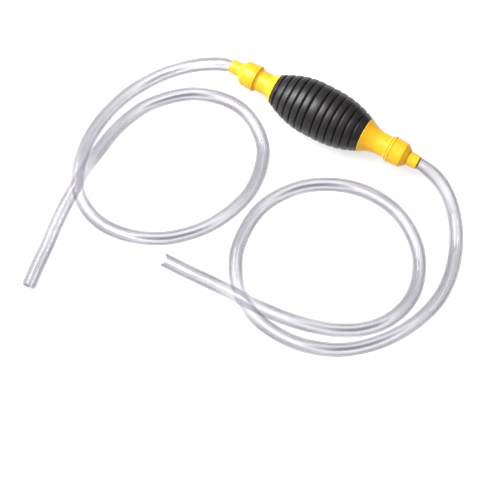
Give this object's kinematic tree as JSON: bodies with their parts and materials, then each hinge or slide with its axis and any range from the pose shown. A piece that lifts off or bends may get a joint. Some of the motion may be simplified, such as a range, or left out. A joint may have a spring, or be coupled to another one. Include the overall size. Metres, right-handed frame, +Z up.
{
  "type": "siphon bulb pump",
  "caption": "Hand siphon pump: a ribbed rubber squeeze bulb with a check valve, a union nut and a long clear hose at each end.",
  "frame": {"origin": "on the surface that the pump lies on, below the middle of the pump measured without its hoses", "axes": "+X along the pump in the direction of flow, from the inlet hose to the outlet hose; +Z up; -Y towards the loops of the hoses"},
  "size_m": [0.296, 0.2447, 0.041],
  "materials": {
    "bulb_rubber": "satin black rubber",
    "yellow_plastic": "glossy lemon to golden yellow moulding",
    "white_plastic": "semi-matt natural white",
    "spring_steel": "bright drawn wire",
    "seal_rubber": "matt",
    "clear_hose": "clear flexible plastic tube with a faint grey-lilac tint"
  },
  "bodies": {
    "root": {"inlet_valve_housing": "yellow_plastic", "outlet_valve_housing": "yellow_plastic", "inlet_valve_seat": "white_plastic", "outlet_valve_seat": "white_plastic", "inlet_valve_cage": "white_plastic", "outlet_valve_cage": "white_plastic", "inlet_valve_spring": "spring_steel", "outlet_valve_spring": "spring_steel"},
    "bulb_front": {"bulb_front_half": "bulb_rubber"},
    "bulb_back": {"bulb_back_half": "bulb_rubber"},
    "inlet_valve": {"inlet_poppet": "white_plastic", "inlet_poppet_seal": "seal_rubber"},
    "outlet_valve": {"outlet_poppet": "white_plastic", "outlet_poppet_seal": "seal_rubber"},
    "inlet_tail": {"inlet_gasket": "seal_rubber", "inlet_tailpiece": "yellow_plastic", "inlet_hose": "clear_hose"},
    "outlet_tail": {"outlet_gasket": "seal_rubber", "outlet_tailpiece": "yellow_plastic", "outlet_hose": "clear_hose"},
    "inlet_nut": {"inlet_union_nut": "yellow_plastic"},
    "outlet_nut": {"outlet_union_nut": "yellow_plastic"}
  },
  "joints": [
    {"name": "bulb_front_squeeze", "type": "slide", "parent": "root", "child": "bulb_front", "axis": [0, 1, 0], "range_m": [0, 0.01], "stiffness_N_per_m": 1500, "springref_m": -0.001, "deforming": ["bulb_front_half"]},
    {"name": "bulb_back_squeeze", "type": "slide", "parent": "root", "child": "bulb_back", "axis": [0, -1, 0], "range_m": [0, 0.01], "stiffness_N_per_m": 1500, "springref_m": -0.001, "deforming": ["bulb_back_half"]},
    {"name": "inlet_valve_lift", "type": "slide", "parent": "root", "child": "inlet_valve", "axis": [1, 0, 0], "range_m": [0, 0.0025], "stiffness_N_per_m": 40, "springref_m": -0.002, "deforming": ["inlet_valve_spring"]},
    {"name": "outlet_valve_lift", "type": "slide", "parent": "root", "child": "outlet_valve", "axis": [1, 0, 0], "range_m": [0, 0.0025], "stiffness_N_per_m": 40, "springref_m": -0.002, "deforming": ["outlet_valve_spring"]},
    {"name": "inlet_union_slide", "type": "slide", "parent": "root", "child": "inlet_tail", "axis": [-1, 0, 0], "range_m": [0, 0.006]},
    {"name": "outlet_union_slide", "type": "slide", "parent": "root", "child": "outlet_tail", "axis": [1, 0, 0], "range_m": [0, 0.006]},
    {"name": "inlet_union_turn", "type": "hinge", "parent": "inlet_tail", "child": "inlet_nut", "pos_m": [-0.064, 0, 0.02052], "axis": [-1, 0, 0], "range_deg": [0, 1080]},
    {"name": "outlet_union_turn", "type": "hinge", "parent": "outlet_tail", "child": "outlet_nut", "pos_m": [0.064, 0, 0.02052], "axis": [1, 0, 0], "range_deg": [0, 1080]}
  ],
  "couplings": [
    {"joint": "bulb_back_squeeze", "follows": "bulb_front_squeeze", "ratio": 1},
    {"joint": "inlet_union_turn", "follows": "inlet_union_slide", "rad_per_m": 3141.6},
    {"joint": "outlet_union_turn", "follows": "outlet_union_slide", "rad_per_m": 3141.6}
  ]
}
